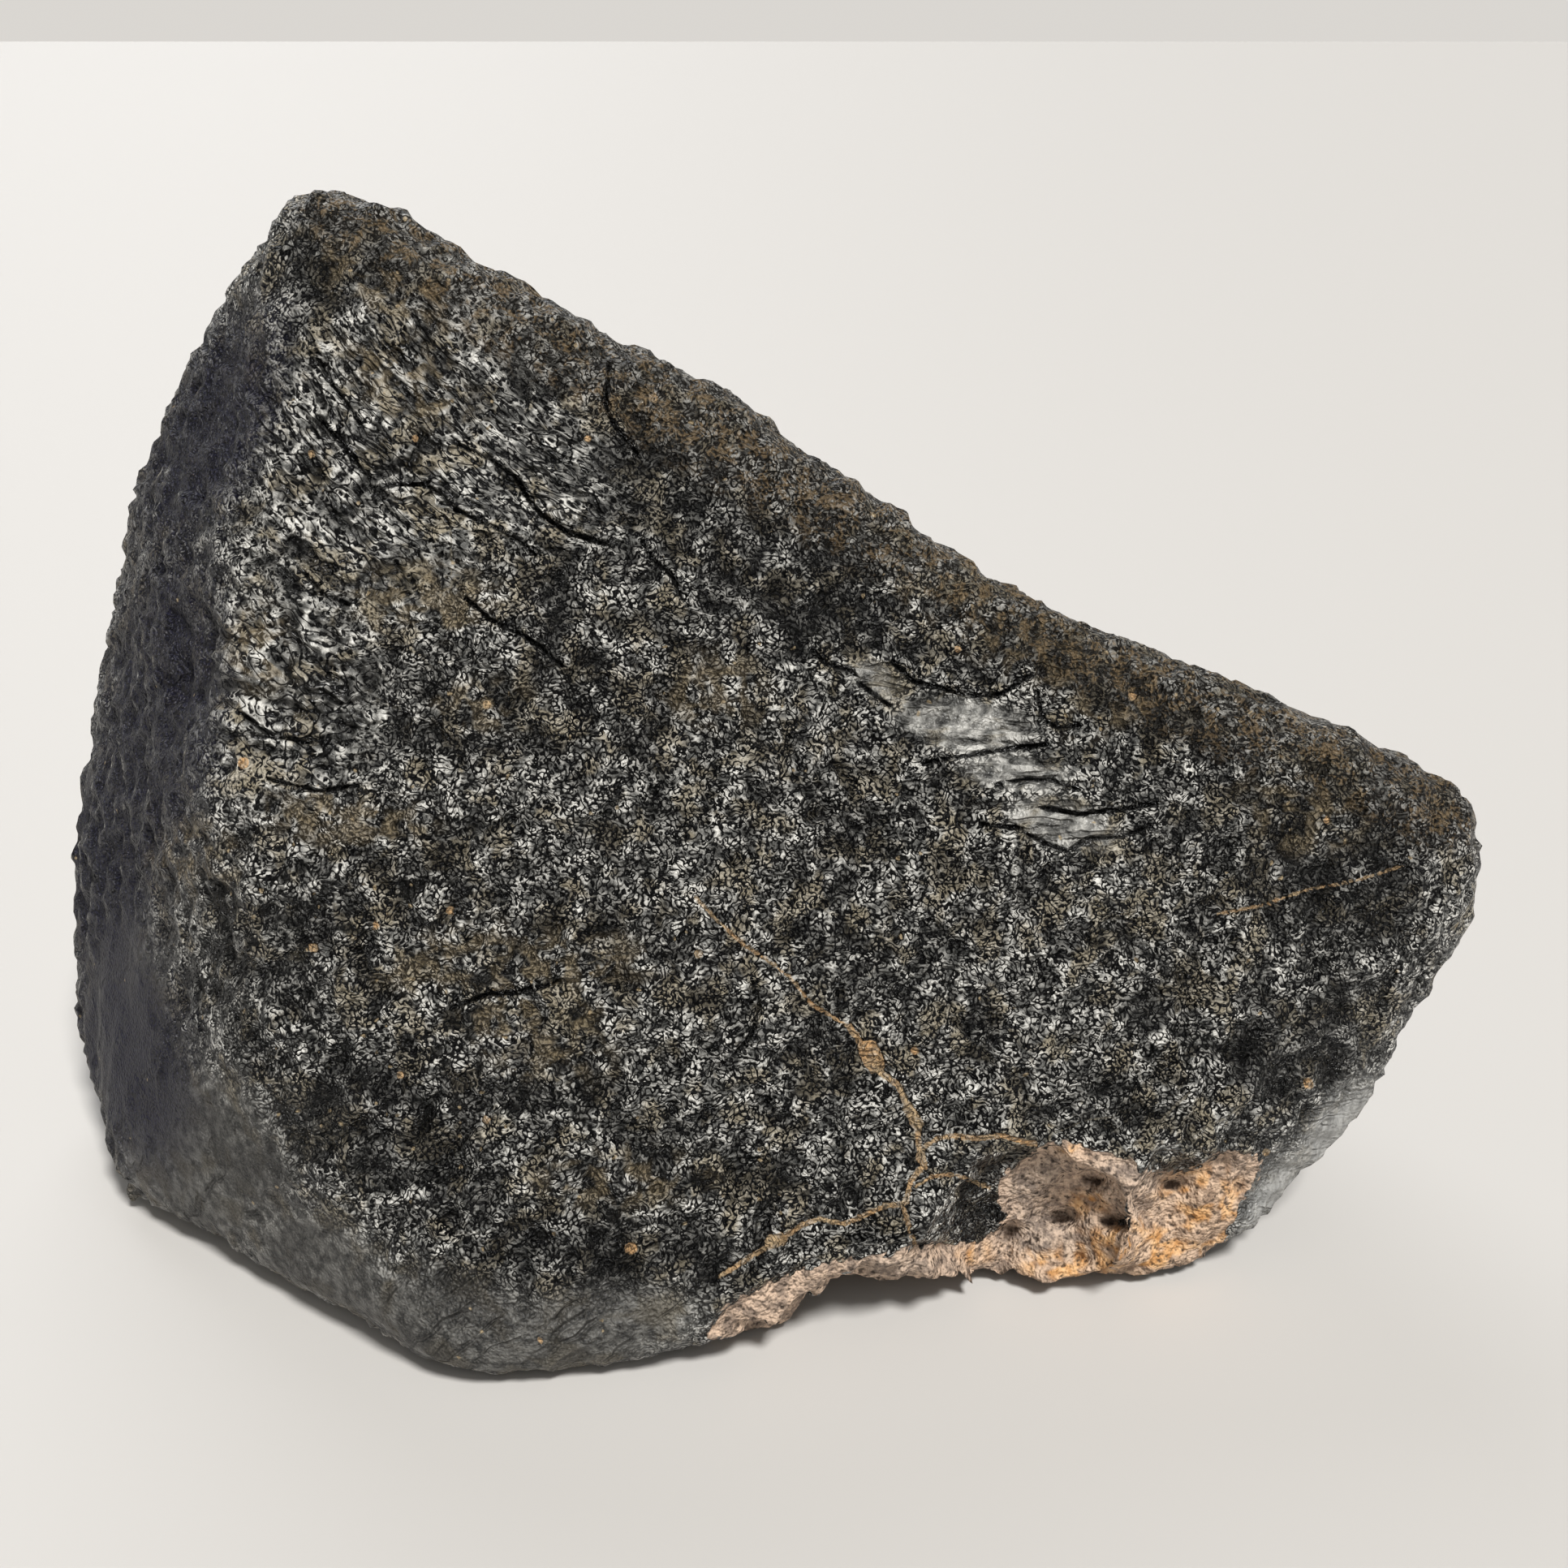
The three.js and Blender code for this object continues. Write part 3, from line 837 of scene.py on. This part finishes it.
# The folds' pale mottle is a painted sheen.
mottle = look.plus(look.noise(wander, 1.3, 1.0), 0.7, look.times(beads, 0.3))
skin_and_sheen_colour = look.mix(look.ramp(mottle, 0.36, 0.6), SKIN_DARK, SKIN_SHEEN)
fold_share = look.ramp(look.plus(dust, 0.6, folded), 0.7, 1.25, 0.0, 0.45)
crust = look.mix(fold_share, crust, skin_and_sheen_colour)
# Painted shade: the bottoms of the furrows are coloured black.
crust = look.mix(look.times(furrows, 0.92), crust, PAINTED_SHADE_BLACK)
fine_grit = look.ramp(look.noise(place, 6.0, 1.0), 0.4, 0.62)
matt_colour = look.mix(fine_grit, MATT_DARK, MATT_PALE)
crust = look.mix(look.times(matt, 0.85), crust, matt_colour)
# The left face: painted shade, tinted blue as a painted reflection.
shade_colour = look.mix(fine_grit, BLUE_BLACK, BLUE_GREY)
crust = look.mix(look.times(shade, 0.93), crust, shade_colour)
scratches = look.noise(look.add("Mapping", {"Vector": place, **DOWN_THE_BEVEL}), 1.0, 1.0)
bevel_colour = look.mix(look.ramp(scratches, 0.3, 0.7), BEVEL_GREY_DARK, BEVEL_GREY_PALE)
crust = look.mix(look.times(bevel, 0.9), crust, bevel_colour)
print("folds, foot, left face and bevel are coloured")

# %% [markdown]
# Then come small things: black pits in the lower left, painted as shade in the colour only, dust that
# settled in the net, rust along the ridge, and pale specks. A Voronoi texture gives each of its cells one
# random colour. A few cells win a speck.
# %% Finish of the stone: pits, dust, rust and specks
DUST = rgb(0.20, 0.16, 0.10)
RUSTY_BLACK = rgb(0.02, 0.017, 0.013)
RUST = rgb(0.17, 0.12, 0.066)
SPECK = rgb(0.36, 0.28, 0.17)

# Painted shade: black spots for the pits in the lower left, which have no relief.
pits = look.ramp(look.noise(wander, 0.75, 1.0), 0.36, 0.44, 0.9, 0.0)
crust = look.mix(look.times(pits, pitted), crust, PAINTED_SHADE_BLACK)
dust_share = look.times(look.ramp(dust, 0.35, 0.85), look.times(dusty, look.ramp(net, 0.0, 0.5, 0.3, 0.8)))
crust = look.mix(dust_share, crust, DUST)
crust = look.mix(look.times(ridge, 0.5), crust, RUSTY_BLACK)
rust = look.ramp(look.plus(dust, 0.6, beads), 0.8, 1.1)
crust = look.mix(look.times(rust, look.times(ridge, 0.75)), crust, RUST)
from_core = look.add("TexVoronoi", {"Vector": wander, "Scale": 1.5}, output="Distance")
lot = look.add("SeparateColor", {0: from_core.node.outputs["Color"]}, output="Red")
wins = look.sum("GREATER_THAN", lot, look.plus(look.highest(dusty, ridge, pitted), -0.16, 0.975))
speck = look.times(wins, look.ramp(look.plus(beads, 0.35, from_core), 0.28, 0.40, 0.8, 0.0))
crust = look.mix(speck, crust, SPECK)
print("pits, dust, rust and specks are placed")

# %% [markdown]
# Creases, veins and cracks are drawn by their distance marks, roughened so that no edge is straight. The
# black along the creases is painted shade.
# %% Finish of the stone: creases, veins and cracks
CREASE_SHADE_BLACK = rgb(0.002, 0.002, 0.002)
VEIN_TAN = rgb(0.46, 0.34, 0.20)
VEIN_ORANGE = rgb(0.50, 0.30, 0.14)
CRACK_FILLING = rgb(0.20, 0.18, 0.14)

# Painted shade along the creases.
crease = look.plus(dust, 0.12, look.sum("SUBTRACT", look.mark("crease"), 0.08))
crust = look.mix(look.ramp(crease, 0.05, 0.22, 0.95, 0.0), crust, CREASE_SHADE_BLACK)
uneven = look.noise(place, 3.0, 1.0)
wobble = look.plus(uneven, -0.34, 0.17)
vein = look.ramp(look.sum("ADD", look.mark("vein"), wobble), 0.0, 0.07, 1.0, 0.0)
vein_colour = look.mix(look.mark("warm"), VEIN_TAN, VEIN_ORANGE)
crust = look.mix(look.times(vein, look.ramp(uneven, 0.34, 0.6, 1.0, 0.45)), crust, vein_colour)
crack = look.ramp(look.sum("ADD", look.mark("crack"), look.times(wobble, 0.5)), -0.02, 0.04, 0.75, 0.0)
crust = look.mix(crack, crust, CRACK_FILLING)
print("creases, veins and cracks are drawn")

# %% [markdown]
# The inside is a mixture of grains: tan all over, grey in places, ochre where iron rusted, with dark
# crumbs. The hollows are darker still, with painted shade.
# %% Finish of the stone: the broken stone
TAN_DARK = rgb(0.24, 0.18, 0.14)
TAN_PALE = rgb(0.58, 0.43, 0.32)
GREY_DARK = rgb(0.15, 0.125, 0.11)
GREY_PALE = rgb(0.42, 0.35, 0.29)
OCHRE_DARK = rgb(0.50, 0.24, 0.075)
OCHRE_PALE = rgb(0.72, 0.44, 0.21)
CRUMB = rgb(0.035, 0.024, 0.018)
SHADE_IN_THE_HOLLOWS = rgb(0.035, 0.02, 0.012)

grain = look.noise(place, 1.4, 3.0, 0.65)
stone_colour = look.mix(look.ramp(grain, 0.38, 0.62), TAN_DARK, TAN_PALE)
grey_colour = look.mix(look.ramp(grain, 0.4, 0.6), GREY_DARK, GREY_PALE)
stone_colour = look.mix(look.times(look.mark("grey"), 0.45), stone_colour, grey_colour)
ochre_colour = look.mix(look.ramp(grain, 0.35, 0.65), OCHRE_DARK, OCHRE_PALE)
ochre = look.times(look.mark("ochre"), look.ramp(dust, 0.3, 0.8, 0.15, 1.0))
stone_colour = look.mix(look.times(ochre, 0.9), stone_colour, ochre_colour)
crumbs = look.noise(place, 3.2, 1.0)
stone_colour = look.mix(look.ramp(crumbs, 0.28, 0.42, 0.85, 0.0), stone_colour, CRUMB)
# Painted shade in the hollows of the broken stone.
hollow = look.plus(grain, 1.6, look.sum("SUBTRACT", look.mark("hollow"), 0.8))
stone_colour = look.mix(look.ramp(hollow, 0.45, 1.0), stone_colour, SHADE_IN_THE_HOLLOWS)
look.feed(look.shader.inputs["Base Color"], look.mix(is_broken, crust, stone_colour))
print("the broken stone is coloured")

# %% [markdown]
# Melted crust shines, matt places and veins less, and broken stone hardly at all. The bump gives the
# shader the finest relief, which would need millions of triangles as a mesh.
# %% Finish of the stone: gloss and bump
GAP_ROUGHNESS = 0.36
BEAD_ROUGHNESS = 0.28
SHINE = 0.3
BUMP_HEIGHT = 0.27 * MM

gloss = look.blend(net, GAP_ROUGHNESS, BEAD_ROUGHNESS)
for share, roughness in ((folded, 0.28), (shade, 0.5), (matt, 0.55), (vein, 0.8), (is_broken, 0.85)):
    gloss = look.blend(share, gloss, roughness)
look.feed(look.shader.inputs["Roughness"], gloss)
look.shader.inputs["Specular IOR Level"].default_value = SHINE
height = look.blend(is_broken, height, look.times(crumbs, 1.8))
bump = look.add("Bump", {"Height": height, "Strength": 1.0, "Distance": BUMP_HEIGHT})
look.feed(look.shader.inputs["Normal"], bump)
stone.data.materials.append(look.material)
only(stone)
bpy.ops.object.shade_smooth()
print("the finish has", len(look.tree.nodes), "nodes")

# %% [markdown]
# The stone stands on a plain pale table. A black glossy thing shows little of its own colour: it shows
# the lights. A fairly small key light high in front gives each frozen bead a glint and leaves the gaps
# black. A dim light from behind and a soft surround, pale at the horizon, fill the other sides.
# %% Floor and light
FLOOR_SIZE = 60
FLOOR_COLOUR = rgb(0.555, 0.54, 0.52)
FLOOR_ROUGHNESS = 0.6

bpy.ops.object.select_all(action="DESELECT")
bpy.ops.mesh.primitive_plane_add(size=FLOOR_SIZE)
floor = bpy.context.object
floor.name = "floor"
table = Recipe("pale_floor")
table.feed(table.shader.inputs["Base Color"], FLOOR_COLOUR)
table.feed(table.shader.inputs["Roughness"], FLOOR_ROUGHNESS)
floor.data.materials.append(table.material)


def soft_sun(name, around, above, spread, strength, colour):
    around, above = math.radians(around), math.radians(above)
    level = math.cos(above)
    towards = Vector((math.sin(around) * level, -math.cos(around) * level, math.sin(above)))
    bpy.ops.object.light_add(type="SUN", location=towards)
    light = bpy.context.object
    light.name = name
    light.data.angle = math.radians(spread)
    light.data.energy = strength
    light.data.color = colour
    light.rotation_euler = towards.to_track_quat("Z", "Y").to_euler()


WARM_WHITE = (1.0, 0.985, 0.96)
COOL_WHITE = (0.95, 0.97, 1.0)

soft_sun("key", around=24, above=55, spread=12, strength=4.1, colour=WARM_WHITE)
soft_sun("fill", around=5, above=40, spread=30, strength=0.4, colour=WARM_WHITE)
soft_sun("back", around=200, above=38, spread=40, strength=1.0, colour=COOL_WHITE)
print("lights:", [light.name for light in bpy.data.lights])

# %% [markdown]
# The surround is the world's background. Its strength falls with height, from a pale horizon that the
# floor fades into to a dim sky, so that the crust mirrors little light from above and stays dark.
# %% The surround
SURROUND_COLOUR = rgb(1.0, 0.965, 0.915)
SURROUND_FADE = {"From Min": 0.02, "From Max": 0.3, "To Min": 0.70, "To Max": 0.12}

world = bpy.data.worlds.new("studio")
world.use_nodes = True
room = world.node_tree
up = room.nodes.new("ShaderNodeTexCoord").outputs["Generated"]
split = room.nodes.new("ShaderNodeSeparateXYZ")
room.links.new(up, split.inputs["Vector"])
fade = room.nodes.new("ShaderNodeMapRange")
for end, value in SURROUND_FADE.items():
    fade.inputs[end].default_value = value
room.links.new(split.outputs["Z"], fade.inputs["Value"])
room.links.new(fade.outputs["Result"], room.nodes["Background"].inputs["Strength"])
room.nodes["Background"].inputs["Color"].default_value = SURROUND_COLOUR
bpy.context.scene.world = world
bpy.context.scene.view_settings.view_transform = "Standard"
print("the surround is set")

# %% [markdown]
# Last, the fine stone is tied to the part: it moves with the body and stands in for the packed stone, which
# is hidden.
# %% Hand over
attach(stone, "root")
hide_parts(STONE)
